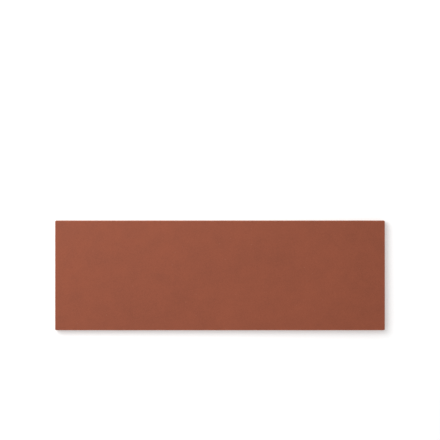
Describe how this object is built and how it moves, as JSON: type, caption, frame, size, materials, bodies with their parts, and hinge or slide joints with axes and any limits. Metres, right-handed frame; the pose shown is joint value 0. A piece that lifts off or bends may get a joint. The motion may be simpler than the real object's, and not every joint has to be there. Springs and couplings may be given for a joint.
{
  "type": "brick-look tile",
  "caption": "Plain matt brick-red ceramic tile in a long brick format, with an eased face edge and a ribbed keying back, bonded to a wall or floor.",
  "frame": {"origin": "middle of the keyed back, on the plane of its ribs and rim, which the tile lies on", "axes": "+X along the tile's length, +Y across it, +Z out of the face"},
  "size_m": [0.3, 0.1, 0.008],
  "materials": {
    "fired_clay": "matte"
  },
  "bodies": {
    "root": {"tile": "fired_clay"}
  },
  "joints": []
}
